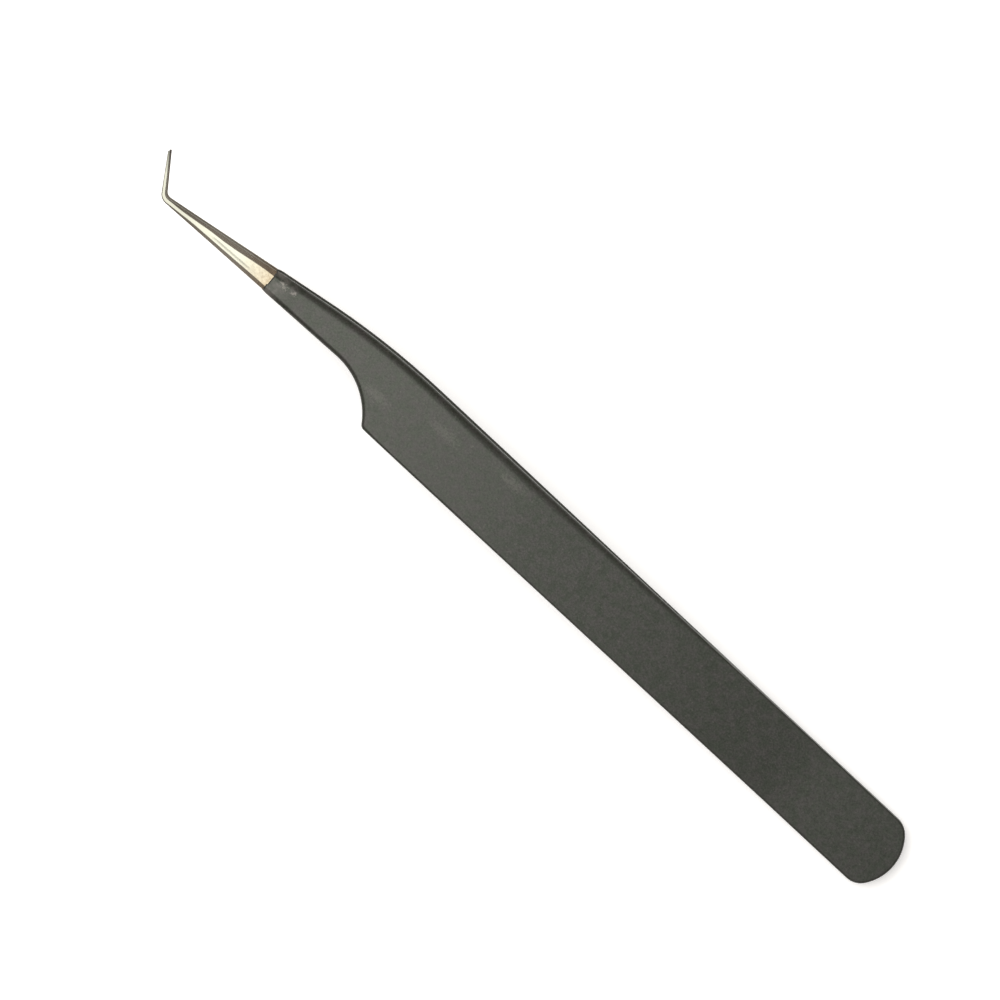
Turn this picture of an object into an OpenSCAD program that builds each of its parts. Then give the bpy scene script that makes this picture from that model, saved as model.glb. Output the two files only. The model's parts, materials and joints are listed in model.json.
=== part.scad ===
// Angled fine-point precision tweezers. Two spring-steel blades are spot-welded together at
// the tail. Their handles wear a thin dark coating, and the ground noses stay bare, with the
// points bent to one side. X runs from the tail to the points, +Y is the notched side, Z is up.
// The part lies on its broad side, on its tail end and on the belly of the lower arm, with
// its origin under the middle of its box. Each arm flexes about a line across its root.

/* [Handle outline] */
// Width of a bare blade along the grip
blade_w = 9.06; // [8.6:0.02:9.6]
// Radius of the rounded tail end
end_r = 5.8; // [5.4:0.1:7]
// Distance of the tail arc's centre from the centre line
end_offset = 0.15; // [0:0.05:0.5]
// Radius of the two corners beside the tail end
tail_corner_r = 2.4; // [1:0.1:2.6]
// Distance from the tail end to the corner of the notch
grip_l = 81.2; // [76:0.1:84]
// Radius of the hollow behind the nose
notch_r = 9.1; // [7:0.1:10]
// Rounding of the notch corner
notch_corner_r = 0.7; // [0.3:0.1:1.5]
// Radius of the back edge where the handle turns into the nose
shoulder_r = 100; // [60:1:120]

/* [Nose and point] */
// Height of the nose's notched edge above the centre line, at the neck
neck_y = 0.34; // [0:0.05:1]
// Slant of the nose's notched edge
neck_deg = 1.5; // [0.5:0.1:2]
// Slant of the nose's back edge
back_deg = 9.3; // [8:0.1:11]
// Distance from the tail end to the elbow
elbow_x = 116.6; // [114:0.1:118]
// Width of the nose at the elbow
nose_end_w = 0.56; // [0.5:0.02:0.8]
// Angle between the point and the handle
point_deg = 54.4; // [40:0.2:65]
// Length of the bent point
point_l = 5.5; // [4.5:0.1:6.5]
// Width of the bent point at the elbow
point_root_w = 0.56; // [0.4:0.02:0.7]
// Width of the point's end
point_end_w = 0.26; // [0.16:0.02:0.3]
// Inner radius of the elbow
elbow_in_r = 0.9; // [0.5:0.1:1.2]
// Outer radius of the elbow
elbow_out_r = 1.4; // [0.8:0.1:1.5]

/* [Side shape] */
// Length of the flat, welded tail
weld_l = 14; // [12:0.5:16]
// Radius by which the blades part behind the weld
root_r = 60; // [40:1:80]
// Slope of each blade away from the middle
spread_deg = 4.6; // [4:0.1:5.2]
// Where the belly bend starts
belly_from = 58; // [54:1:62]
// Where the belly bend ends
belly_to = 86; // [82:1:92]
// Slope of the nose back towards the middle
drop_deg = 2.4; // [1.8:0.1:3]
// Where the flat faces start that meet when the points close
meet_x = 110; // [106:1:112]

/* [Thickness] */
// Steel thickness of the handle
blade_t = 1.2; // [1:0.05:1.4]
// Steel thickness where the meeting faces start
nose_t = 0.8; // [0.6:0.05:1]
// Steel thickness at the very point
point_t = 0.3; // [0.2:0.05:0.5]
// Angle of the bevels ground on the outer face of the nose
bevel_deg = 30; // [20:1:35]
// Width of the bevel on the back edge, at the end of the coating
back_bevel_w = 0.6; // [0.5:0.05:0.8]
// Width of the bevel on the notched edge
neck_bevel_w = 0.35; // [0.2:0.05:0.4]
// Thickness of the coating
coat_t = 0.1; // [0.08:0.01:0.15]
// Distance from the tail end to the end of the coating
coat_l = 100.8; // [97:0.1:104]

/* [Welds and flexing] */
// Diameter of a spot weld
weld_d = 3.2; // [2.4:0.1:4]
// Thickness of a spot weld, through both blades
weld_t = 0.7; // [0.4:0.05:1]
// Distance from the tail end to the first spot weld
weld_x = 4.4; // [4:0.1:5]
// Distance between the spot welds
weld_pitch = 5.6; // [4.5:0.1:6]
// Distance from the tail end to the line that an arm flexes about
flex_x = 22; // [21:0.5:26]
// Radial clearance round an arm's rounded root
flex_clear = 0.03; // [0.02:0.01:0.05]
// Gap left between the points when both arms are closed
closed_gap = 0.04; // [0.02:0.01:0.1]

/* [Hidden] */
$fn = 48;
round_proud = 0.01;       // how far a rounded root's radius exceeds half the arm's thickness
edge_y = blade_w / 2;

// Meeting point of the line through p at angle a with the line through q at angle b
function crossing(p, a, q, b) =
    p + dir(a) * ((q - p) * dir(b + 90)) / (dir(a) * dir(b + 90));
function dir(a) = [cos(a), sin(a)];
function arc(c, r, a0, a1, steps) = [for (i = [0:steps]) c + r * dir(a0 + (a1 - a0) * i / steps)];
// Arc that turns an outline at corner p from heading a to heading b
function bend(p, a, b, r, steps) =
    let (side = sign(b - a), cut = r * tan(abs(b - a) / 2))
    arc(p - cut * dir(a) + side * r * dir(a + 90), r, a - side * 90, b - side * 90, steps);

// --- Outline of the blade, seen from above; grow moves every edge outwards ---
end_c = [end_r + coat_t, end_offset];
function corner_c(y) =
    [end_c.x - sqrt(pow(end_r - tail_corner_r, 2) - pow(y - end_c.y, 2)), y];
back_corner_c = corner_c(-edge_y + tail_corner_r);
neck_corner_c = corner_c(edge_y - tail_corner_r);
function angle_of(v) = (atan2(v.y, v.x) + 360) % 360;
back_corner_a = angle_of(back_corner_c - end_c);
neck_corner_a = angle_of(neck_corner_c - end_c);

notch_cy = neck_y + notch_r;
notch_c = [grip_l + sqrt(pow(notch_r, 2) - pow(notch_cy - edge_y, 2)), notch_cy];
notch_corner_y = edge_y - notch_corner_r;
notch_a = asin((notch_cy - notch_corner_y) / (notch_r + notch_corner_r));
notch_corner_c = notch_c - (notch_r + notch_corner_r) * dir(notch_a);

neck_p = notch_c + notch_r * dir(270 + neck_deg);
function neck_edge(x) = neck_p.y + (x - neck_p.x) * tan(neck_deg);
function back_edge(x) = neck_edge(elbow_x) - nose_end_w + (x - elbow_x) * tan(back_deg);
shoulder_p = crossing([0, -edge_y], 0, [elbow_x, back_edge(elbow_x)], back_deg);

function back_side(grow) = concat(
    arc(back_corner_c, tail_corner_r + grow, back_corner_a, 270, 4),
    bend(shoulder_p + grow * [tan(back_deg / 2), -1], 0, back_deg, shoulder_r + grow, 6));
function neck_side(grow) = concat(
    arc(notch_c, notch_r - grow, 270 + neck_deg, 180 + notch_a, 12),
    arc(notch_corner_c, notch_corner_r + grow, notch_a, 90, 3),
    arc(neck_corner_c, tail_corner_r + grow, 90, neck_corner_a, 4),
    arc(end_c, end_r + grow, neck_corner_a, back_corner_a, 10));

elbow_c = [elbow_x, neck_edge(elbow_x) - nose_end_w / 2];
point_end = elbow_c + point_l * dir(-point_deg);
point_taper = atan((point_root_w - point_end_w) / 2 / point_l);
point_side = dir(90 - point_deg);
point_in_a = point_taper - point_deg;
point_out_a = 180 - point_deg - point_taper;
elbow_in = crossing([elbow_x, back_edge(elbow_x)], back_deg,
                    elbow_c - point_side * point_root_w / 2, point_in_a);
elbow_out = crossing([elbow_x, neck_edge(elbow_x)], neck_deg,
                     elbow_c + point_side * point_root_w / 2, point_out_a);
function bent_point() = concat(
    bend(elbow_in, back_deg, point_in_a, elbow_in_r, 5),
    arc(point_end, point_end_w / 2, -90 - point_deg, 90 - point_deg, 4),
    bend(elbow_out, point_out_a, 180 + neck_deg, elbow_out_r, 6));

past_coat = coat_l + 2;
function coated_end(grow) = [
    [past_coat, back_edge(past_coat) - grow / cos(back_deg)],
    [past_coat, neck_edge(past_coat) + grow / cos(neck_deg)]];

// --- Side shape: height of the inner face above the middle, and steel thickness ---
rise_x = weld_l + root_r * sin(spread_deg);
rise_z = root_r * (1 - cos(spread_deg));
belly_r = (belly_to - belly_from) / (sin(spread_deg) + sin(drop_deg));
peak_x = belly_from + belly_r * sin(spread_deg);
belly_z = rise_z + (belly_from - rise_x) * tan(spread_deg);
peak_z = belly_z + belly_r * (1 - cos(spread_deg));
drop_z = peak_z - belly_r * (1 - cos(drop_deg));
meet_z = drop_z - (meet_x - belly_to) * tan(drop_deg);
function circle_drop(r, x) = r - sqrt(r * r - x * x);
function inner_z(x) =
    x < weld_l ? 0 :
    x < rise_x ? circle_drop(root_r, x - weld_l) :
    x < belly_from ? rise_z + (x - rise_x) * tan(spread_deg) :
    x < belly_to ? peak_z - circle_drop(belly_r, x - peak_x) :
    x < meet_x ? drop_z - (x - belly_to) * tan(drop_deg) :
    meet_z + (x - meet_x) * tan(close_deg);
function steel_t(x) = lookup(x, [[belly_to, blade_t], [meet_x, nose_t], [point_end.x, point_t]]);

flex_z = inner_z(flex_x) + blade_t / 2;
meet_v = [meet_x - flex_x, meet_z - flex_z];
close_deg = asin((flex_z - closed_gap / 2) / norm(meet_v)) + atan2(meet_v.y, meet_v.x);

function steps(from, to, count) = [for (i = [0:count]) from + (to - from) * i / count];
function stations(x_end) = [for (x = concat([-1], steps(weld_l, rise_x, 4),
                                            steps(belly_from, belly_to, 10), [meet_x]))
                            if (x < x_end) x];
function side_points(grow, x_end) =
    let (xs = concat(stations(x_end), [x_end]), last = len(xs) - 1)
    concat([for (x = xs) [x, inner_z(x) - grow]],
           [for (i = [last:-1:0]) [xs[i], inner_z(xs[i]) + steel_t(xs[i]) + grow]]);

// --- How the part lies on the table ---
tail_t = blade_t + coat_t;
belly_c = [peak_x, belly_r - peak_z];
tilt_deg = asin(belly_r / norm(belly_c)) - atan2(belly_c.y, belly_c.x);
x_low = -tail_t * sin(tilt_deg);
x_high = (point_end.x + point_end_w / 2) * cos(tilt_deg)
    + (inner_z(point_end.x) + point_t) * sin(tilt_deg);
module lying() {
    translate([-(x_low + x_high) / 2, 0, tail_t * cos(tilt_deg)])
        rotate([0, -tilt_deg, 0])
            children();
}

// --- One blade, bare or grown by the coating, above the middle plane ---
tall = 12;
module plan_solid(points) {
    translate([0, 0, -1])
        linear_extrude(tall)
            polygon(points);
}
module side_solid(grow, x_end) {
    rotate([90, 0, 0])
        linear_extrude(2 * tall, center = true)
            polygon(side_points(grow, x_end));
}

// What a bevel grinds away. Its upper edge runs through [x, y] at angle a, it starts at from,
// and side is -1 on the back edge and 1 on the notched edge.
outer_slope = atan(tan(drop_deg) + (blade_t - nose_t) / (meet_x - belly_to));
bevel_to = elbow_x - 0.9;
back_bevel_from = 78;
neck_bevel_from = 91;
back_bevel_a = back_deg - 2;
module bevel_cut(from, x, y, a, side, grow) {
    translate([x, y, inner_z(x) + steel_t(x)])
        rotate([0, outer_slope, 0])
            rotate([-side * bevel_deg, 0, a])
                translate([from - x, side > 0 ? -1 : -3, grow])
                    cube([bevel_to - from, 4, 3]);
}
module bevels(grow) {
    bevel_cut(back_bevel_from, coat_l, back_edge(coat_l) + back_bevel_w, back_bevel_a, -1, grow);
    bevel_cut(neck_bevel_from, coat_l, neck_edge(coat_l) - neck_bevel_w, neck_deg, 1, grow);
}
module steel() {
    difference() {
        intersection() {
            plan_solid(concat(back_side(0), bent_point(), neck_side(0)));
            side_solid(0, point_end.x + 1);
        }
        bevels(0);
    }
}
module coated() {
    difference() {
        intersection() {
            plan_solid(concat(back_side(coat_t), coated_end(coat_t), neck_side(coat_t)));
            side_solid(coat_t, coat_l);
        }
        bevels(coat_t);
    }
}

// --- The flex line: a rounded arm root that turns in a hollow at the end of the tail ---
steel_root_r = blade_t / 2 + round_proud;
coated_root_r = steel_root_r + coat_t;
module at_flex() {
    translate([flex_x, 0, flex_z])
        rotate([0, -spread_deg, 0])
            children();
}
module cross_rod(r) {
    rotate([90, 0, 0])
        cylinder(h = 2 * tall, r = r, center = true);
}
module arm_zone(r) {
    at_flex() {
        translate([0, -tall, -tall])
            cube([elbow_x, 2 * tall, 2 * tall]);
        cross_rod(r);
    }
}
module tail_zone() {
    at_flex()
        difference() {
            translate([-2 * flex_x, -tall, -tall])
                cube([2 * flex_x, 2 * tall, 2 * tall]);
            cross_rod(coated_root_r + flex_clear);
        }
}
module arm_steel() {
    intersection() {
        steel();
        arm_zone(steel_root_r);
    }
}
module arm_coat() {
    difference() {
        intersection() {
            coated();
            arm_zone(coated_root_r);
        }
        arm_steel();
    }
}
module tail_steel() {
    difference() {
        intersection() {
            steel();
            tail_zone();
        }
        nuggets();
    }
}
module tail_coat_half() {
    intersection() {
        coated();
        tail_zone();
    }
}
// Flat nuggets with tapered rims, half in each blade
module nuggets() {
    r = weld_d / 2;
    for (i = [0:1])
        translate([weld_x + i * weld_pitch, 0, 0])
            rotate_extrude()
                polygon([[0, -weld_t / 2], [r * 0.8, -weld_t / 2], [r, 0],
                         [r * 0.8, weld_t / 2], [0, weld_t / 2]]);
}
module under() {
    mirror([0, 0, 1])
        children();
}

module upper_blade() {
    color("#c9c2b0")
        lying()
            arm_steel();
}
module upper_coating() {
    color("#4d4e49")
        lying()
            arm_coat();
}
module lower_blade() {
    color("#b9b3a3")
        lying()
            under()
                arm_steel();
}
module lower_coating() {
    color("#43443f")
        lying()
            under()
                arm_coat();
}
module upper_blade_tail() {
    color("#c9c2b0")
        lying()
            tail_steel();
}
module lower_blade_tail() {
    color("#b9b3a3")
        lying()
            under()
                tail_steel();
}
module tail_coating() {
    color("#4a4b46")
        lying()
            difference() {
                union() {
                    tail_coat_half();
                    under()
                        tail_coat_half();
                }
                steel();
                under()
                    steel();
            }
}
module weld_nuggets() {
    color("#8f8b82")
        lying()
            nuggets();
}

upper_blade();
upper_coating();
lower_blade();
lower_coating();
upper_blade_tail();
lower_blade_tail();
tail_coating();
weld_nuggets();
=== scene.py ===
"""Looks for the angled fine-point tweezers: ground steel blades in a satin dark coating.

The blades and their coating are lofted here as smooth, continuous pieces that bend at the roots
of the arms. Lengths are in millimetres in the handle's own frame: x from the tail's end to the
points, y across, z away from the plane between the arms. placed() turns them into the row frame.
"""

import json
import math

import bmesh
import bpy
import numpy as np
from mathutils import Matrix, Vector


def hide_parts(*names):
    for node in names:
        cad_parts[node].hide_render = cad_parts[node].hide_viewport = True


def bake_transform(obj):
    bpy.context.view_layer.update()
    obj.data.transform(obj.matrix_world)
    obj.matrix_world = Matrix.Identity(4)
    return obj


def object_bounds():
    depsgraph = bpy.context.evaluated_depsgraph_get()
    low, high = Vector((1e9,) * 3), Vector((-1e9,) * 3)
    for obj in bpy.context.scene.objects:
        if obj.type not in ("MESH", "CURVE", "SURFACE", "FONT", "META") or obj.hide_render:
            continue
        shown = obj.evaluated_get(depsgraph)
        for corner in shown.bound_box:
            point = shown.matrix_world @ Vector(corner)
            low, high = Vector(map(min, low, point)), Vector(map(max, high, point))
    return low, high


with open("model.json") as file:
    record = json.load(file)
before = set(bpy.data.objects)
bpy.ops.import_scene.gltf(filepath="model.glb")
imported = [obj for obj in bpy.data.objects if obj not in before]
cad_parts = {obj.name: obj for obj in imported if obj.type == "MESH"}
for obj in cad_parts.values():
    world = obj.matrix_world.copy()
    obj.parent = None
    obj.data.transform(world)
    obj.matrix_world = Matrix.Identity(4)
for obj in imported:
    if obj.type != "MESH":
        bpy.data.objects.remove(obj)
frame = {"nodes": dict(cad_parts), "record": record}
cad_low, cad_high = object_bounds()

MM = 0.001

# --- Outline of a bare blade, as in the CAD source ---
BLADE_W = 9.06
END_R, END_OFFSET = 5.8, 0.15
TAIL_CORNER_R = 2.4
GRIP_L = 81.2
NOTCH_R, NOTCH_CORNER_R = 9.1, 0.7
SHOULDER_R = 100
NECK_Y, NECK_DEG = 0.34, 1.5
BACK_DEG = 9.3
ELBOW_X, NOSE_END_W = 116.6, 0.56
POINT_DEG, POINT_L = 54.4, 5.5
POINT_ROOT_W, POINT_END_W = 0.56, 0.26
ELBOW_IN_R, ELBOW_OUT_R = 0.9, 1.4

# --- Side shape and thickness, as in the CAD source ---
WELD_L, ROOT_R, SPREAD_DEG = 14, 60, 4.6
BELLY_FROM, BELLY_TO, DROP_DEG = 58, 86, 2.4
MEET_X, CLOSE_DEG = 110, 1.861
BLADE_T, NOSE_T, POINT_T = 1.2, 0.8, 0.3
COAT_T, COAT_L = 0.1, 100.8

# --- What only the visual model needs ---
JOIN = 1e-4                       # points closer than this are one point
LEG_GAP = 1e-6                    # keeps a leg's last point before the next leg's first one
INSET = 0.006                     # keeps true arcs inside the straight chords of the CAD outline
SEAM = 0.01                       # bare metal to the middle plane, at the welded tail
MOUNT_X = 8                       # the mounts of the tail's faces, along the handle

EDGE_Y = BLADE_W / 2


def rad(a):
    return math.radians(a)


def heading(a):
    return np.array([math.cos(rad(a)), math.sin(rad(a))])


def crossing(p, a, q, b):
    """Meeting point of the line through p at angle a with the line through q at angle b."""
    across = heading(b + 90)
    return p + heading(a) * np.dot(q - p, across) / np.dot(heading(a), across)


def arc(c, r, a0, a1, steps=24):
    return [np.asarray(c) + r * heading(a0 + (a1 - a0) * i / steps) for i in range(steps + 1)]


def bend(p, a, b, r):
    """The arc that turns an outline at corner p from heading a to heading b."""
    side = math.copysign(1, b - a)
    cut = r * math.tan(rad(abs(b - a) / 2))
    c = p - cut * heading(a) + side * r * heading(a + 90)
    return arc(c, r, a - side * 90, b - side * 90)


def turn(v):
    """Angle of a vector, from 0 to 360 degrees."""
    return math.degrees(math.atan2(v[1], v[0])) % 360


# --- Both long edges of the outline, as matching legs from the tail's end to the point's end ---
END_C = np.array([END_R + COAT_T, END_OFFSET])
NOTCH_CY = NECK_Y + NOTCH_R
NOTCH_C = np.array([GRIP_L + math.sqrt(NOTCH_R ** 2 - (NOTCH_CY - EDGE_Y) ** 2), NOTCH_CY])
NOTCH_A = math.degrees(math.asin((NOTCH_CY - EDGE_Y + NOTCH_CORNER_R)
                                 / (NOTCH_R + NOTCH_CORNER_R)))
NOTCH_CORNER_C = NOTCH_C - (NOTCH_R + NOTCH_CORNER_R) * heading(NOTCH_A)
NECK_P = NOTCH_C + NOTCH_R * heading(270 + NECK_DEG)


def corner_centre(y):
    """Centre of the tail corner that rounds the end arc into a long edge."""
    reach = math.sqrt((END_R - TAIL_CORNER_R) ** 2 - (y - END_C[1]) ** 2)
    return np.array([END_C[0] - reach, y])


def plain_edge(_):
    return EDGE_Y


def neck_edge(x):
    return NECK_P[1] + (x - NECK_P[0]) * math.tan(rad(NECK_DEG))


def back_line(x):
    return neck_edge(ELBOW_X) - NOSE_END_W + (x - ELBOW_X) * math.tan(rad(BACK_DEG))


SHOULDER_P = crossing(np.array([0, -EDGE_Y]), 0,
                      np.array([ELBOW_X, back_line(ELBOW_X)]), BACK_DEG)
SHOULDER_CUT = SHOULDER_R * math.tan(rad(BACK_DEG / 2))
SHOULDER_C = SHOULDER_P + np.array([-SHOULDER_CUT, SHOULDER_R])
SHOULDER_END = SHOULDER_P[0] + SHOULDER_CUT * math.cos(rad(BACK_DEG))


def back_edge(x):
    """The back edge between the tail's corner and the elbow: straight, arc, straight."""
    if x < SHOULDER_C[0]:
        return -EDGE_Y
    if x < SHOULDER_END:
        return SHOULDER_C[1] - math.sqrt(SHOULDER_R ** 2 - (x - SHOULDER_C[0]) ** 2)
    return back_line(x)


ELBOW_C = np.array([ELBOW_X, neck_edge(ELBOW_X) - NOSE_END_W / 2])
POINT_END = ELBOW_C + POINT_L * heading(-POINT_DEG)
POINT_TAPER = math.degrees(math.atan((POINT_ROOT_W - POINT_END_W) / 2 / POINT_L))
POINT_SIDE = heading(90 - POINT_DEG)
POINT_IN_A = POINT_TAPER - POINT_DEG
POINT_OUT_A = -POINT_DEG - POINT_TAPER
ELBOW_IN = crossing(np.array([ELBOW_X, back_line(ELBOW_X)]), BACK_DEG,
                    ELBOW_C - POINT_SIDE * POINT_ROOT_W / 2, POINT_IN_A)
ELBOW_OUT = crossing(np.array([ELBOW_X, neck_edge(ELBOW_X)]), NECK_DEG,
                     ELBOW_C + POINT_SIDE * POINT_ROOT_W / 2, POINT_OUT_A)

TAIL_TO, LIP_FROM, LIP_TO = 8, 98.8, 103      # x where legs of the outline begin and end
BACK_AT_CORNER = 82.2                         # back edge opposite the end of the notch corner
BACK_AT_NECK = NECK_P[0] + 0.6                # back edge opposite the end of the notch


def along(edge, x0, x1, steps=40):
    return [np.array([x, edge(x)]) for x in np.linspace(x0, x1, steps + 1)]


def back_legs():
    corner = corner_centre(-EDGE_Y + TAIL_CORNER_R)
    corner_a = turn(corner - END_C)
    elbow = bend(ELBOW_IN, BACK_DEG, POINT_IN_A, ELBOW_IN_R)
    return [
        arc(END_C, END_R, 180, corner_a)[:-1] + arc(corner, TAIL_CORNER_R, corner_a, 270),
        along(back_edge, corner[0], TAIL_TO),
        along(back_edge, TAIL_TO, NOTCH_CORNER_C[0], 80),
        along(back_edge, NOTCH_CORNER_C[0], BACK_AT_CORNER),
        along(back_edge, BACK_AT_CORNER, BACK_AT_NECK),
        along(back_edge, BACK_AT_NECK, LIP_FROM),
        along(back_edge, LIP_FROM, LIP_TO),
        along(back_edge, LIP_TO, elbow[0][0]),
        elbow,
        [elbow[-1], POINT_END - POINT_SIDE * POINT_END_W / 2],
        arc(POINT_END, POINT_END_W / 2, -90 - POINT_DEG, -POINT_DEG)]


def neck_legs():
    corner = corner_centre(EDGE_Y - TAIL_CORNER_R)
    corner_a = turn(corner - END_C)
    elbow = bend(ELBOW_OUT, NECK_DEG, POINT_OUT_A, ELBOW_OUT_R)
    return [
        arc(END_C, END_R, 180, corner_a)[:-1] + arc(corner, TAIL_CORNER_R, corner_a, 90),
        along(plain_edge, corner[0], TAIL_TO),
        along(plain_edge, TAIL_TO, NOTCH_CORNER_C[0]),
        arc(NOTCH_CORNER_C, NOTCH_CORNER_R, 90, NOTCH_A),
        arc(NOTCH_C, NOTCH_R, 180 + NOTCH_A, 270 + NECK_DEG, 48),
        along(neck_edge, NECK_P[0], LIP_FROM),
        along(neck_edge, LIP_FROM, LIP_TO),
        along(neck_edge, LIP_TO, elbow[0][0]),
        elbow,
        [elbow[-1], POINT_END + POINT_SIDE * POINT_END_W / 2],
        arc(POINT_END, POINT_END_W / 2, 90 - POINT_DEG, -POINT_DEG)]


LEG_STEPS = [20, 4, 58, 6, 20, 12, 14, 18, 14, 12, 6]     # rings of points along each leg
LIP_LEG = 6                                               # the leg that the coating ends on


class Edge:
    """One long edge of the outline. Station s counts legs from the tail's end to the point's."""

    def __init__(self, legs, outward):
        points, places, normals = [], [], []
        for number, leg in enumerate(legs):
            leg = np.array(leg)
            steps = np.diff(leg, axis=0)
            far = np.concatenate([[0], np.cumsum(np.linalg.norm(steps, axis=1))])
            tangent = np.gradient(leg, far, axis=0, edge_order=min(2, len(leg) - 1))
            tangent /= np.linalg.norm(tangent, axis=1)[:, None]
            points.append(leg)
            places.append(number + far / far[-1] * (1 - LEG_GAP))
            normals.append(outward * np.stack([-tangent[:, 1], tangent[:, 0]], axis=1))
        self.s = np.concatenate(places)
        self.p = np.concatenate(points)
        self.n = np.concatenate(normals)

    def at(self, s, out):
        """Points of the edge at stations s, moved outwards by out."""
        p = np.stack([np.interp(s, self.s, self.p[:, i]) for i in (0, 1)], axis=-1)
        n = np.stack([np.interp(s, self.s, self.n[:, i]) for i in (0, 1)], axis=-1)
        n /= np.linalg.norm(n, axis=-1, keepdims=True)
        return p + n * np.asarray(out)[..., None]


BACK = Edge(back_legs(), -1)
NECK = Edge(neck_legs(), 1)

# --- Side shape: weld, root arc, straight rise, belly arc, straight drop, and the nose ---
RISE_X = WELD_L + ROOT_R * math.sin(rad(SPREAD_DEG))
RISE_Z = ROOT_R * (1 - math.cos(rad(SPREAD_DEG)))
BELLY_R = (BELLY_TO - BELLY_FROM) / (math.sin(rad(SPREAD_DEG)) + math.sin(rad(DROP_DEG)))
PEAK_X = BELLY_FROM + BELLY_R * math.sin(rad(SPREAD_DEG))
BELLY_Z = RISE_Z + (BELLY_FROM - RISE_X) * math.tan(rad(SPREAD_DEG))
PEAK_Z = BELLY_Z + BELLY_R * (1 - math.cos(rad(SPREAD_DEG)))
DROP_Z = PEAK_Z - BELLY_R * (1 - math.cos(rad(DROP_DEG)))
MEET_Z = DROP_Z - (MEET_X - BELLY_TO) * math.tan(rad(DROP_DEG))


def circle_drop(r, x):
    return r - np.sqrt(np.maximum(r * r - x * x, 0))


def inner_z(x):
    """Height of a blade's inner face above the plane between the arms."""
    return np.select(
        [x < WELD_L, x < RISE_X, x < BELLY_FROM, x < BELLY_TO, x < MEET_X],
        [0 * x, circle_drop(ROOT_R, x - WELD_L),
         RISE_Z + (x - RISE_X) * math.tan(rad(SPREAD_DEG)),
         PEAK_Z - circle_drop(BELLY_R, x - PEAK_X),
         DROP_Z - (x - BELLY_TO) * math.tan(rad(DROP_DEG))],
        MEET_Z + (x - MEET_X) * math.tan(rad(CLOSE_DEG)))


def steel_t(x):
    return np.interp(x, [BELLY_TO, MEET_X, POINT_END[0]], [BLADE_T, NOSE_T, POINT_T])


# --- What grinding and tumbling took off the edges ---
def along_x(*pairs):
    """A measure that changes along the handle, from pairs of x and the measure there."""
    xs, values = zip(*pairs)
    return lambda x: np.interp(x, xs, values)


# Widths and heights of the bevels. Both edges are cut alike at the tail's end, where rows meet.
back_bevel_w = along_x((30, 0.2), (40, 0.7), (60, 1.05), (92, 1.1), (99, 0.9), (102, 0.6),
                       (104, 0.58), (106, 0.62), (108, 0.57), (110, 0.42), (112, 0.38),
                       (114, 0.32), (116, 0.13), (119.6, 0.05))
back_bevel_h = along_x((30, 0.05), (40, 0.26), (60, 0.44), (92, 0.46), (99, 0.42), (102, 0.37),
                       (104, 0.36), (106, 0.38), (108, 0.345), (110, 0.27), (112, 0.245),
                       (114, 0.215), (116, 0.09), (119.6, 0.04))
neck_bevel_w = along_x((4, 0.2), (78, 0.15), (82.5, 0.45), (97, 0.5), (102, 0.5), (108, 0.42),
                       (112, 0.38), (114, 0.26), (116, 0.14), (119.6, 0.05))
neck_bevel_h = along_x((4, 0.05), (78, 0.02), (82.5, 0.2), (97, 0.25), (102, 0.25),
                       (108, 0.215), (112, 0.21), (114, 0.15), (116, 0.1), (119.6, 0.03))
inner_bevel_w = along_x((24, 0.12), (36, 0.3), (96, 0.34), (102, 0.36), (112, 0.32),
                        (115, 0.22), (116.6, 0.16), (119.6, 0.06))
inner_bevel_h = along_x((4, 0), (24, 0.02), (36, 0.05), (96, 0.07), (101, 0.22), (112, 0.18),
                        (115, 0.12), (116.6, 0.08), (119.6, 0.03))

# Powers of the bevels: one above 1 rolls over, as under the coating, and 1 is a flat bevel.
back_bevel_power = along_x((96, 1.8), (101.5, 1.0))
neck_bevel_power = along_x((4, 1.8), (96, 1.6), (101.5, 1.0))
inner_bevel_power = along_x((96, 1.6), (101.5, 1.0))

# The small facet beside the neck's bevel: its width, how far it lies below the top face, and half
# the width of the slope that leads down to it.
facet_w = along_x((4, 0.02), (100, 0.24), (109, 0.26), (112, 0.1), (114, 0.03), (116, 0.012),
                  (119.6, 0.004))
facet_h = along_x((102.4, 0), (103.4, 0.085), (108.8, 0.085), (110.2, 0))
groove = along_x((4, 0), (100, 0.02), (103, 0.07), (109, 0.07), (112, 0.016), (119.6, 0.003))

# Half the width of a crease between two faces, and the radii of the outer and inner edges.
soft = along_x((110, 0.02), (114, 0.016), (116, 0.01), (119.6, 0.003))
outer_r = along_x((0, 0.14), (96, 0.14), (102, 0.05), (114, 0.04), (119.6, 0.025))
inner_r = along_x((0, 0.1), (96, 0.1), (102, 0.05), (116, 0.04), (119.6, 0.02))

OUTER_CUT = {BACK: (back_bevel_w, back_bevel_h, back_bevel_power),
             NECK: (neck_bevel_w, neck_bevel_h, neck_bevel_power)}
INNER_CUT = (inner_bevel_w, inner_bevel_h, inner_bevel_power)


def bevel_drop(x, d, edge_cut):
    """How far a face lies below its plane, at distance d from an edge."""
    w, h, power = (f(x) for f in edge_cut)
    return h * np.clip(1 - d / w, 0, 1) ** power


# --- The skin of a blade: a grid of lengthwise rows and crosswise rings ---
ROUND_STEPS = 4
BEVEL_SHARES = [0.06, 0.3, 0.55, 0.8, 0.95, 1]
TOP_STEPS = 10
FLAT_STEPS = 8


class Row:
    """One lengthwise line of the skin. A row without a side is spread between its neighbours.

    t says how far the row is through its kind: round the rounding, across the bevel or face, or
    up the slope beside the facet. For a crease, it counts half widths in from the bevel.
    """

    def __init__(self, kind, side, t):
        self.kind = kind
        self.side = side
        self.t = t
        self.under = kind == "flat" or kind.startswith("under")


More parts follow.
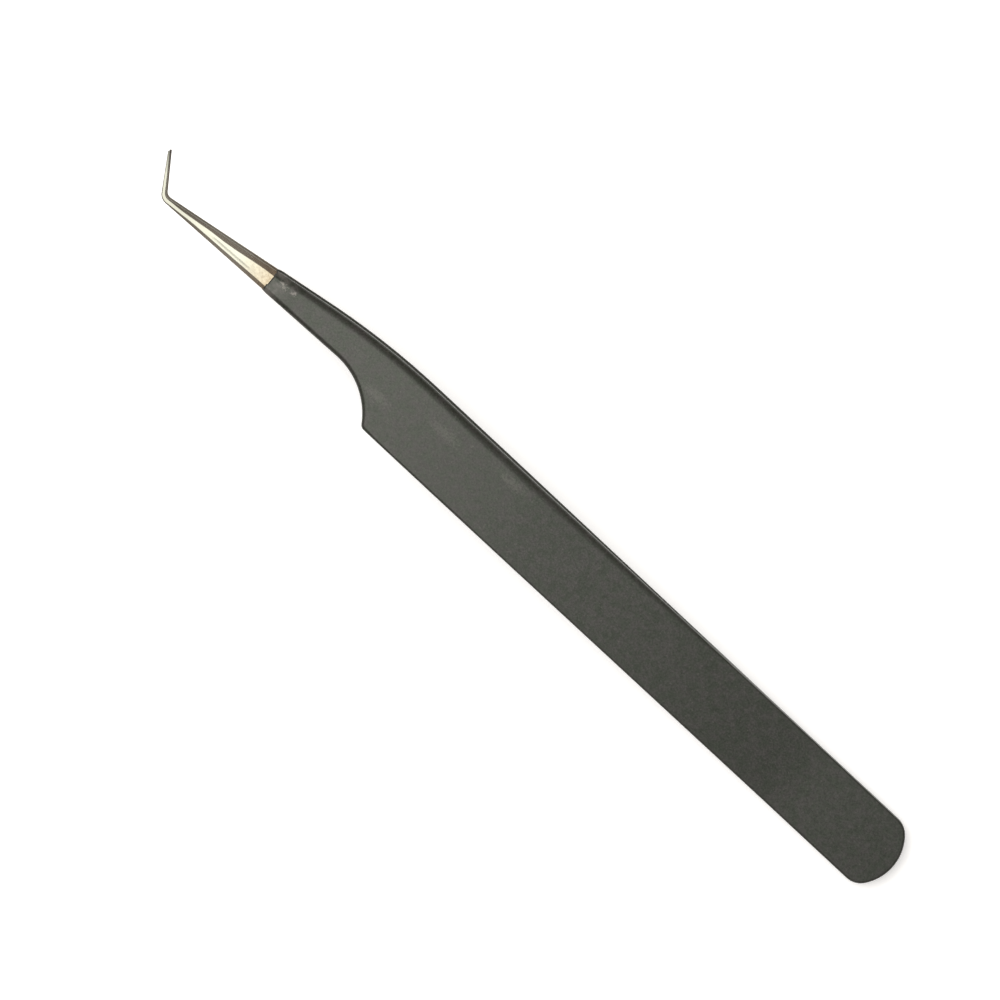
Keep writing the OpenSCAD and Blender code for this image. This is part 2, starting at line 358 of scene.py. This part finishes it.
def row_list():
    """The rows once round the section: over the top and back underneath."""
    made = [Row("round", BACK, i / ROUND_STEPS) for i in range(ROUND_STEPS + 1)]
    made += [Row("bevel", BACK, t) for t in BEVEL_SHARES]
    made += [Row("crease", BACK, 1), Row("crease", BACK, 3)]
    made += [Row("top", None, i / TOP_STEPS) for i in range(1, TOP_STEPS)]
    made += [Row("facet", NECK, 1), Row("facet", NECK, 0)]
    made += [Row("crease", NECK, 1)]
    made += [Row("bevel", NECK, t) for t in reversed(BEVEL_SHARES)]
    made += [Row("round", NECK, i / ROUND_STEPS) for i in range(ROUND_STEPS, -1, -1)]
    made += [Row("under", NECK, i / ROUND_STEPS) for i in range(ROUND_STEPS + 1)]
    made += [Row("flat", None, 1 - i / FLAT_STEPS) for i in range(1, FLAT_STEPS)]
    made += [Row("under_crease", BACK, 1)]
    made += [Row("under_bevel", BACK, t) for t in reversed(BEVEL_SHARES)]
    made += [Row("under", BACK, i / ROUND_STEPS) for i in range(ROUND_STEPS, -1, -1)]
    return made


ROWS = row_list()
SIDED = [i for i, row in enumerate(ROWS) if row.side is not None]    # rows that keep to an edge


def top_line(row, x, s, grow):
    """A row of the outer face, down to where the side wall begins."""
    cut = OUTER_CUT[row.side]
    w = cut[0](x) + grow
    r = outer_r(x) + grow
    a = row.t * math.pi / 2
    drop = 0
    if row.kind == "round":
        d = r * (1 - math.cos(a))
        drop = r * (1 - math.sin(a))
    elif row.kind == "bevel":
        d = r + (w - soft(x) - r) * row.t
    elif row.kind == "crease":
        d = w + row.t * soft(x)
    else:
        d = w + 2 * soft(x) + facet_w(x) + 2 * row.t * groove(x)
    up_the_slope = row.kind == "facet" and row.t == 1
    if row.side is NECK and not up_the_slope:
        drop = drop + facet_h(x)
    drop = drop + bevel_drop(x, np.maximum(d - grow, 0), cut)
    p = row.side.at(s, grow - d)
    return p, inner_z(p[:, 0]) + steel_t(p[:, 0]) + grow - drop


def under_line(row, x, s, grow, floor_z):
    """A row of the inner face, up to where the side wall begins."""
    w = inner_bevel_w(x) + grow
    r = inner_r(x) + grow
    a = row.t * math.pi / 2
    lift = 0
    if row.kind == "under":
        d = r * (1 - math.cos(a))
        lift = r * (1 - math.sin(a))
    elif row.kind == "under_bevel":
        d = r + (w - soft(x) - r) * row.t
    else:
        d = w + soft(x)
    if row.side is BACK:
        lift = lift + bevel_drop(x, np.maximum(d - grow, 0), INNER_CUT)
    p = row.side.at(s, grow - d)
    return p, np.maximum(inner_z(p[:, 0]) - grow, floor_z) + lift


def edge_line(row, s, grow, floor_z):
    x = row.side.at(s, 0 * s)[:, 0]
    if row.under:
        return under_line(row, x, s, grow, floor_z)
    return top_line(row, x, s, grow)


def middle_line(number, lines, grow, floor_z):
    """A row of the top or the underside, spread between the nearest rows that keep to an edge."""
    before = max(i for i in SIDED if i < number)
    after = min(i for i in SIDED if i > number)
    t = (number - before) / (after - before)
    p = lines[before][0] * (1 - t) + lines[after][0] * t
    x = p[:, 0]
    if ROWS[number].under:
        return p, np.maximum(inner_z(x) - grow, floor_z)
    return p, inner_z(x) + steel_t(x) + grow


def skin_points(s, grow, floor_z):
    """Points of every row at its stations s, for a skin that lies grow outside the bare steel
    and no lower than floor_z."""
    lines = {i: edge_line(ROWS[i], s[i], grow, floor_z) for i in SIDED}
    for i in range(len(ROWS)):
        if i not in lines:
            lines[i] = middle_line(i, lines, grow, floor_z)
    return np.stack([np.column_stack(lines[i]) for i in range(len(ROWS))])


def stations(last_leg):
    """Stations of the rings from the tail's end to the end of a leg."""
    s = [leg + i / LEG_STEPS[leg] for leg in range(last_leg) for i in range(LEG_STEPS[leg])]
    return np.array(s + [last_leg])


def tube_faces(rings):
    """Quads of a skin, which closes on itself across its rows."""
    faces = []
    for i in range(len(ROWS)):
        here = i * rings
        beside = (i + 1) % len(ROWS) * rings
        for k in range(rings - 1):
            faces.append((here + k, here + k + 1, beside + k + 1, beside + k))
    return faces


def lip_faces(rings):
    """Quads that join the ends of an outer skin and of the inner skin that is listed after it."""
    total = len(ROWS) * rings
    faces = []
    for i in range(len(ROWS)):
        here = (i + 1) * rings - 1
        beside = (i + 1) % len(ROWS) * rings + rings - 1
        faces.append((here, total + here, total + beside, beside))
    return faces


# --- From the handle's frame to the row frame, by way of the two faces of the tail ---
mounts = {m["name"]: m for m in frame["record"]["mounts"]}
axis_z = Vector(mounts["tail_face_upper"]["axis"]).normalized()
tail_mid = (Vector(mounts["tail_face_upper"]["pos_m"])
            + Vector(mounts["tail_face_lower"]["pos_m"])) / 2
axis_y = Vector((0, 1, 0))
axis_x = axis_y.cross(axis_z)
origin = tail_mid - axis_x * MOUNT_X * MM
TO_ROW = np.array([axis_x, axis_y, axis_z])


def placed(points):
    return np.asarray(points) * MM @ TO_ROW + np.array(origin)


def close_mesh(mesh):
    """Joins the rows where they meet at the two ends, fills what is left open there, and turns
    every face outwards."""
    bm = bmesh.new()
    bm.from_mesh(mesh)
    bmesh.ops.remove_doubles(bm, verts=bm.verts, dist=JOIN * MM)
    bmesh.ops.dissolve_degenerate(bm, edges=bm.edges, dist=JOIN * MM / 10)
    seam = [edge for edge in bm.edges if edge.is_boundary]
    filled = bmesh.ops.holes_fill(bm, edges=seam, sides=0)["faces"]
    sealed = set(bmesh.ops.triangulate(bm, faces=filled)["faces"])
    bmesh.ops.recalc_face_normals(bm, faces=bm.faces)
    for face in bm.faces:
        face.smooth = face not in sealed
    bm.to_mesh(mesh)
    bm.free()


def make_mesh(name, points, faces, flip, material, mask):
    """A closed, smooth-shaded mesh from handle points, mirrored for the lower arm. Its material
    reads two values at each point: where it is at rest, and the mask."""
    points = np.array(points)
    if flip:
        points = points * np.array([1, 1, -1])
        faces = [tuple(reversed(f)) for f in faces]
    mesh = bpy.data.meshes.new(name)
    mesh.from_pydata([tuple(p) for p in placed(points)], [], faces)
    rest = mesh.attributes.new("handle_mm", "FLOAT_VECTOR", "POINT")
    rest.data.foreach_set("vector", points.astype(np.float32).ravel())
    share = mesh.attributes.new("mask", "FLOAT", "POINT")
    share.data.foreach_set("value", np.asarray(mask, np.float32).ravel())
    mesh.materials.append(material)
    close_mesh(mesh)
    obj = bpy.data.objects.new(name, mesh)
    bpy.context.scene.collection.objects.link(obj)
    return obj


# --- Blade ---
# Share of each kind of row in the duller grind and in the painted shade between the arms.
DULL_AND_SHADE_SHARE = {"flat": 1.0, "under_crease": 1.0, "under_bevel": 0.5, "under": 0.5, "round": 0.5}


def blade(name, flip, material):
    """A whole blade. Its mask is the duller grind of the inner face and the side walls, and the
    painted shade that darkens them.
    """
    s = stations(len(LEG_STEPS))
    points = skin_points(np.tile(s, (len(ROWS), 1)), -INSET, SEAM)
    dull_and_shade = np.array([DULL_AND_SHADE_SHARE.get(row.kind, 0.0) for row in ROWS])
    mask = np.repeat(dull_and_shade[:, None], len(s), axis=1)
    return make_mesh(name, points.reshape(-1, 3), tube_faces(len(s)), flip, material, mask)


# --- Coating ---
LIP_X = COAT_L + 0.18                             # where the coating ends on the back side
LIP_STEPS = ((-1.1, 6, -0.28), (0.1, 8, 0.1))     # y, steepness and mm further out past that y
LIP_WAVES = ((5.1, 0.07), (11.7, 0.055), (23, 0.04))    # radians per mm of y, and height
LIP_RINGS = 10
LIP_SINK = (0.75, 0.35, 0.1)                      # shares the rings sink by, the last ring first
# Shift of the waves, and what the lower arm and the inner faces add to it, in radians
LIP_PHASE, LIP_PHASE_LOWER, LIP_PHASE_UNDER = 1.3, 2.1, 1.7


def lip_x(y, phase):
    """Where the coating ends on the nose, across it: in two steps, and a little ragged."""
    x = LIP_X
    for step_y, steepness, rise in LIP_STEPS:
        x = x + rise / (1 + np.exp(-(y - step_y) * steepness))
    for number, (rate, height) in enumerate(LIP_WAVES):
        x = x + height * np.sin(rate * y + (number + 1) * phase)
    return x


def coating_stations(flip):
    """Stations of the coating's rings: the last ones are drawn to the ragged lip, row by row."""
    middle = np.full((len(ROWS), 1), LIP_LEG + 0.5)
    y = skin_points(middle, COAT_T, 0)[:, 0, 1]
    under = np.array([row.under for row in ROWS])
    phase = LIP_PHASE + (LIP_PHASE_LOWER if flip else 0)
    reach = (lip_x(y, phase + under * LIP_PHASE_UNDER) - LIP_FROM) / (LIP_TO - LIP_FROM)
    last_rings = np.linspace(0, 1, LIP_RINGS + 1)[1:]
    handle = stations(LIP_LEG)
    s = np.array([np.concatenate([handle, LIP_LEG + r * last_rings]) for r in reach])
    return s, np.concatenate([0 * handle, last_rings])


def coating(name, flip, material):
    """Half of the coating, as a closed skin. Its mask grows from 0 to 1 as the lip nears."""
    s, near_lip = coating_stations(flip)
    outer = skin_points(s, COAT_T - INSET, 0)
    inner = skin_points(s, 0, SEAM)
    for number, share in enumerate(LIP_SINK):
        ring = -1 - number
        outer[:, ring] = outer[:, ring] * (1 - share) + inner[:, ring] * share
    rings = len(near_lip)
    total = len(ROWS) * rings
    faces = tube_faces(rings)
    faces += [tuple(total + v for v in reversed(face)) for face in tube_faces(rings)]
    faces += lip_faces(rings)
    points = np.concatenate([outer.reshape(-1, 3), inner.reshape(-1, 3)])
    return make_mesh(name, points, faces, flip, material, np.tile(near_lip, (2 * len(ROWS), 1)))


# --- Materials ---
class Shader:
    """A material under construction: add() makes a node and links or sets its inputs."""

    def __init__(self, name):
        self.material = bpy.data.materials.new(name)
        self.material.use_nodes = True
        self.tree = self.material.node_tree
        self.surface = self.tree.nodes["Principled BSDF"]

    def put(self, node, inputs):
        for key, value in inputs.items():
            socket = node.inputs[key]
            if isinstance(value, bpy.types.NodeSocket):
                self.tree.links.new(value, socket)
            else:
                socket.default_value = value

    def add(self, kind, inputs=None, **settings):
        node = self.tree.nodes.new(kind)
        for key, value in settings.items():
            setattr(node, key, value)
        self.put(node, inputs or {})
        return node

    def rest_position(self):
        """Position in the handle's frame at rest, in mm, so that nothing slides as arms flex."""
        return self.add("ShaderNodeAttribute", attribute_name="handle_mm").outputs["Vector"]

    def mask(self):
        return self.add("ShaderNodeAttribute", attribute_name="mask").outputs["Fac"]

    def x_of(self, vector):
        return self.add("ShaderNodeSeparateXYZ", {"Vector": vector}).outputs["X"]

    def scaled(self, vector, scale):
        return self.add("ShaderNodeMapping", {"Vector": vector, "Scale": scale}).outputs[0]

    def noise(self, vector, scale, detail=2.0, rough=0.5):
        node = self.add("ShaderNodeTexNoise", {"Vector": vector, "Scale": scale,
                                               "Detail": detail, "Roughness": rough})
        return node.outputs["Fac"]

    def ramp(self, value, *stops):
        """Colours, or plain shares, between stops."""
        node = self.add("ShaderNodeValToRGB", {"Fac": value})
        while len(node.color_ramp.elements) < len(stops):
            node.color_ramp.elements.new(0.5)
        for element, (at, colour) in zip(node.color_ramp.elements, stops):
            element.position = at
            rgb = colour if isinstance(colour, tuple) else (colour,) * 3
            element.color = (*rgb, 1)
        return node.outputs["Color"]

    def mix(self, share, a, b, blend_type="MIX"):
        """Mixes colours. 0, 6 and 7 are the node's inputs for its share and its two colours."""
        node = self.add("ShaderNodeMix", data_type="RGBA", blend_type=blend_type)
        self.put(node, {0: share, 6: a, 7: b})
        return node.outputs[2]

    def times(self, colour, share):
        return self.mix(1.0, colour, share, "MULTIPLY")

    def math(self, operation, a, b):
        return self.add("ShaderNodeMath", {0: a, 1: b}, operation=operation).outputs[0]

    def average(self, a, b, share_of_a=0.5):
        return self.math("ADD", self.math("MULTIPLY", a, share_of_a),
                         self.math("MULTIPLY", b, 1 - share_of_a))

    def span(self, value, low, high, to_low, to_high):
        """Turns low to high into to_low to to_high, and stays there beyond them."""
        node = self.add("ShaderNodeMapRange", {"Value": value, "From Min": low,
                                               "From Max": high, "To Min": to_low,
                                               "To Max": to_high})
        return node.outputs[0]

    def bump(self, height, distance, strength, normal=None):
        inputs = {"Height": height, "Distance": distance, "Strength": strength}
        if normal is not None:
            inputs["Normal"] = normal
        return self.add("ShaderNodeBump", inputs).outputs["Normal"]


def steel_colour(sh, at, grind, mottle):
    """Clean steel on the nose, mottled brown beside the coating, darkened with painted shade on
    the inner faces and side walls, and darker towards the points."""
    x = sh.x_of(at)
    mottled = sh.ramp(mottle, (0.36, (0.225, 0.185, 0.127)), (0.62, (0.325, 0.282, 0.207)))
    clean = sh.ramp(grind, (0.3, (0.33, 0.325, 0.27)), (0.7, (0.37, 0.37, 0.312)))
    outer = sh.mix(sh.span(x, 105.5, 101.0, 0.0, 1.0), clean, mottled)
    # Painted shade: the inner faces and side walls are darkened far below steel's own colour, as
    # in the shade between the arms; their duller grind is in the roughness.
    dull_and_shade = sh.ramp(mottle, (0.35, (0.075, 0.062, 0.050)), (0.65, (0.115, 0.097, 0.080)))
    colour = sh.mix(sh.mask(), outer, dull_and_shade)
    nose = sh.span(x, 109, 114, 1.0, 0.82)
    tip = sh.span(x, 118.2, 119.7, 1.0, 0.4)
    return sh.times(colour, sh.math("MULTIPLY", nose, tip))


def steel_material():
    sh = Shader("ground_steel")
    at = sh.rest_position()
    grind = sh.noise(sh.scaled(at, (0.35, 9, 9)), 1.0, 4.0, 0.65)
    fine = sh.noise(sh.scaled(at, (1.2, 30, 30)), 1.0, 3.0, 0.6)
    mottle = sh.noise(at, 2.6, 4.0, 0.62)
    rough = sh.span(sh.average(grind, mottle, 0.6), 0.3, 0.7, 0.20, 0.30)
    rough = sh.math("ADD", rough, sh.math("MULTIPLY", sh.mask(), 0.18))
    normal = sh.bump(fine, 0.002 * MM, 0.5, sh.bump(grind, 0.004 * MM, 0.5))
    sh.put(sh.surface, {"Base Color": steel_colour(sh, at, grind, mottle), "Metallic": 1.0,
                        "Roughness": rough, "Normal": normal})
    return sh.material


# Pale spots of the coating: middle and radii in handle mm, and strength.
PALE_SPOTS = (((99.2, -1.35, 3.9), (0.6, 0.4, 1.5), 1.0), ((97.7, -1.5, 4.0), (0.45, 0.25, 1.5), 0.8),
          ((64.0, -2.7, 5.0), (2.4, 0.6, 1.5), 0.16), ((73.5, -1.6, 5.3), (2.8, 0.8, 1.5), 0.12),
          ((82.5, 0.6, 5.2), (2.2, 0.8, 1.5), 0.14))


def pale_spot(sh, at, middle, radii):
    """Share of one pale spot: 1 in the middle of an ellipsoid, torn towards its rim, then 0."""
    moved = sh.add("ShaderNodeMapping", {"Vector": at, "Location": middle, "Scale": radii},
                   vector_type="TEXTURE").outputs[0]
    length = sh.add("ShaderNodeVectorMath", {0: moved}, operation="LENGTH").outputs["Value"]
    torn = sh.math("ADD", length, sh.math("MULTIPLY", sh.noise(at, 3.0, 5.0, 0.8), 5.0))
    return sh.span(torn, 2.7, 3.5, 1.0, 0.0)


def rubbed_and_pale_share(sh, at, x, patch):
    """Where the coating is lighter: rubbed thin in patches near the lip, and pale in the listed
    spots.
    """
    rubbed_and_pale = sh.math("MULTIPLY", sh.span(x, 97.5, 100.2, 0, 0.34),
                     sh.span(patch, 0.40, 0.62, 0, 1))
    for middle, radii, strength in PALE_SPOTS:
        spot = sh.math("MULTIPLY", pale_spot(sh, at, middle, radii), strength)
        rubbed_and_pale = sh.math("MAXIMUM", rubbed_and_pale, spot)
    return rubbed_and_pale


def coating_colour(sh, at, x, patch, grain):
    """Nearly black, in olive and warm patches with light specks; rubbed patches and pale spots;
    painted shade along the lip.
    """
    broad = sh.noise(at, 0.16, 3.0, 0.55)
    speck = sh.noise(at, 3.1, 2.0, 0.5)
    olive = sh.ramp(patch, (0.40, (0.0085, 0.0110, 0.0070)), (0.60, (0.0125, 0.0115, 0.0102)))
    colour = sh.mix(sh.span(broad, 0.35, 0.65, 0, 0.5), olive, (0.013, 0.0145, 0.0115, 1))
    light = sh.ramp(speck, (0.64, 0.0), (0.72, 0.5))
    colour = sh.mix(light, colour, (0.045, 0.042, 0.036, 1))
    colour = sh.times(colour, sh.ramp(grain, (0.35, 0.65), (0.65, 1.2)))
    colour = sh.mix(rubbed_and_pale_share(sh, at, x, patch), colour, (0.19, 0.178, 0.16, 1))
    # Painted shade: the last rings before the lip are darkened nearly to black, as the shadow at
    # the coating's edge.
    return sh.mix(sh.span(sh.mask(), 0.90, 0.96, 0, 0.85), colour, (0.006, 0.005, 0.005, 1))


def coating_gloss(sh, x, patch, grain):
    """Specular level: most where the fingers polish the middle of the handle."""
    polish = sh.math("MULTIPLY", sh.span(x, 14, 45, 1.14, 1.38), sh.span(x, 60, 72, 1, 0.86))
    polish = sh.math("MULTIPLY", polish, sh.span(patch, 0.38, 0.62, 0.95, 1.05))
    return sh.math("MULTIPLY", sh.span(grain, 0.34, 0.66, 0.42, 0.62), polish)


def coating_material():
    sh = Shader("satin_coating")
    at = sh.rest_position()
    x = sh.x_of(at)
    patch = sh.noise(at, 0.9, 4.0, 0.6)
    grain = sh.noise(at, 4.2, 4.0, 0.75)
    rough = sh.span(sh.average(patch, grain), 0.35, 0.65, 0.28, 0.40)
    normal = sh.bump(grain, 0.012 * MM, 0.5, sh.bump(patch, 0.02 * MM, 0.3))
    tint = sh.ramp(patch, (0.38, (0.94, 1.0, 0.87)), (0.62, (1.0, 0.985, 0.93)))
    sh.put(sh.surface, {"Base Color": coating_colour(sh, at, x, patch, grain),
                        "Roughness": rough, "Normal": normal, "IOR": 1.45,
                        "Specular IOR Level": coating_gloss(sh, x, patch, grain),
                        "Specular Tint": tint})
    return sh.material


def weld_material():
    sh = Shader("spot_weld")
    at = sh.add("ShaderNodeTexCoord").outputs["Object"]
    heat = sh.noise(at, 900.0, 3.0, 0.6)
    colour = sh.ramp(heat, (0.35, (0.30, 0.27, 0.24)), (0.65, (0.52, 0.49, 0.45)))
    rough = sh.span(heat, 0.3, 0.7, 0.45, 0.7)
    sh.put(sh.surface, {"Base Color": colour, "Metallic": 1.0, "Roughness": rough,
                        "Normal": sh.bump(heat, 0.01 * MM, 0.5)})
    return sh.material


def floor_material():
    """Pale, and giving off a little light, so that the ground comes out white as in the photo."""
    sh = Shader("pale_floor")
    at = sh.add("ShaderNodeTexCoord").outputs["Object"]
    cloud = sh.noise(at, 6.0)
    colour = sh.ramp(cloud, (0.3, (0.90, 0.90, 0.895)), (0.7, (0.92, 0.92, 0.915)))
    sh.put(sh.surface, {"Base Color": colour, "Roughness": 0.9,
                        "Emission Color": (1, 1, 1, 1), "Emission Strength": 0.32})
    return sh.material


# --- The tweezers ---
steel = steel_material()
coat = coating_material()


def arm(side, flip):
    metal = blade(side + "_blade_steel", flip, steel)
    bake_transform(metal)
    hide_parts(side + "_blade", side + "_blade_tail")
    skin = coating(side + "_handle_coating", flip, coat)
    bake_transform(skin)
    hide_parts(side + "_coating", "tail_coating")


arm("upper", False)
arm("lower", True)

nuggets = frame["nodes"]["weld_nuggets"]
nuggets.data.materials.clear()
nuggets.data.materials.append(weld_material())

# --- Floor, light and camera. Places of lights are in metres in the row frame. ---
FLOOR_HALF = 1.5                  # metres
FLOOR_GAP = 0.02 * MM
SOFTBOX_AT, SOFTBOX_AIM = (0.12, 0.0, 0.27), (0.10, 0, 0)
SOFTBOX_SIZE, SOFTBOX_WATTS, SOFTBOX_COLOUR = 0.36, 0.74, (1.0, 0.985, 0.96)

# Height in the sky, as the cosine from straight up, and its colour there. Seen from above, flat
# faces reflect the bright top, ground bevels the brown band, and rounded edges the dark band.
SKY = ((0.10, (0.86, 0.85, 0.84)), (0.20, (0.13, 0.115, 0.11)), (0.30, (0.13, 0.115, 0.11)),
       (0.42, (0.50, 0.415, 0.385)), (0.57, (0.50, 0.415, 0.385)), (0.73, (0.88, 0.88, 0.86)))

VIEW_MM = 117.8                   # width of the view at the handle
AIM = (63.36, -0.10, 0.0)         # handle point in the middle of the view
IMAGE_UP = (0.6819, -0.7315)      # handle x and y that point up in the view
CAMERA_FAR = 1500.0               # mm from the handle
CAMERA_LEAN = (1.6, -2.3)         # degrees off the handle's normal, along x and along y
SENSOR_MM = 36


def make_floor():
    bm = bmesh.new()
    bmesh.ops.create_grid(bm, x_segments=2, y_segments=2, size=FLOOR_HALF)
    mesh = bpy.data.meshes.new("floor")
    bm.to_mesh(mesh)
    bm.free()
    mesh.materials.append(floor_material())
    obj = bpy.data.objects.new("floor", mesh)
    obj.location = (0, 0, cad_low.z - FLOOR_GAP)
    bpy.context.scene.collection.objects.link(obj)


def make_softbox():
    data = bpy.data.lights.new("softbox", "AREA")
    data.shape = "DISK"
    data.size = SOFTBOX_SIZE
    data.energy = SOFTBOX_WATTS
    data.color = SOFTBOX_COLOUR
    obj = bpy.data.objects.new("softbox", data)
    obj.location = SOFTBOX_AT
    obj.rotation_mode = "QUATERNION"
    obj.rotation_quaternion = (Vector(SOFTBOX_AIM) - Vector(SOFTBOX_AT)).to_track_quat("-Z", "Y")
    bpy.context.scene.collection.objects.link(obj)


def make_world():
    world = bpy.data.worlds.new("studio")
    world.use_nodes = True
    bpy.context.scene.world = world
    tree = world.node_tree
    background = tree.nodes["Background"]
    coords = tree.nodes.new("ShaderNodeTexCoord")
    split = tree.nodes.new("ShaderNodeSeparateXYZ")
    ramp = tree.nodes.new("ShaderNodeValToRGB")
    tree.links.new(coords.outputs["Generated"], split.inputs[0])
    tree.links.new(split.outputs["Z"], ramp.inputs["Fac"])
    tree.links.new(ramp.outputs["Color"], background.inputs["Color"])
    for _ in SKY[2:]:
        ramp.color_ramp.elements.new(0.5)
    for element, (height, colour) in zip(ramp.color_ramp.elements, SKY):
        element.position = height
        element.color = (*colour, 1)


def make_camera():
    data = bpy.data.cameras.new("camera")
    back = Vector((*(math.tan(rad(lean)) for lean in CAMERA_LEAN), 1)).normalized()
    up = Vector((*IMAGE_UP, 0))
    up = (up - back * up.dot(back)).normalized()
    right = up.cross(back)
    to_row = Matrix(TO_ROW.tolist()).transposed()
    place = (to_row @ Matrix((right, up, back)).transposed()).to_4x4()
    place.translation = Vector(placed(AIM)) + to_row @ back * CAMERA_FAR * MM
    data.sensor_width = SENSOR_MM
    data.lens = SENSOR_MM * CAMERA_FAR / VIEW_MM
    data.clip_start = 0.01
    data.clip_end = 10
    obj = bpy.data.objects.new("camera", data)
    obj.matrix_world = place
    bpy.context.scene.collection.objects.link(obj)
    bpy.context.scene.camera = obj


make_floor()
make_world()
make_softbox()
make_camera()
bpy.context.scene.view_settings.view_transform = "Standard"
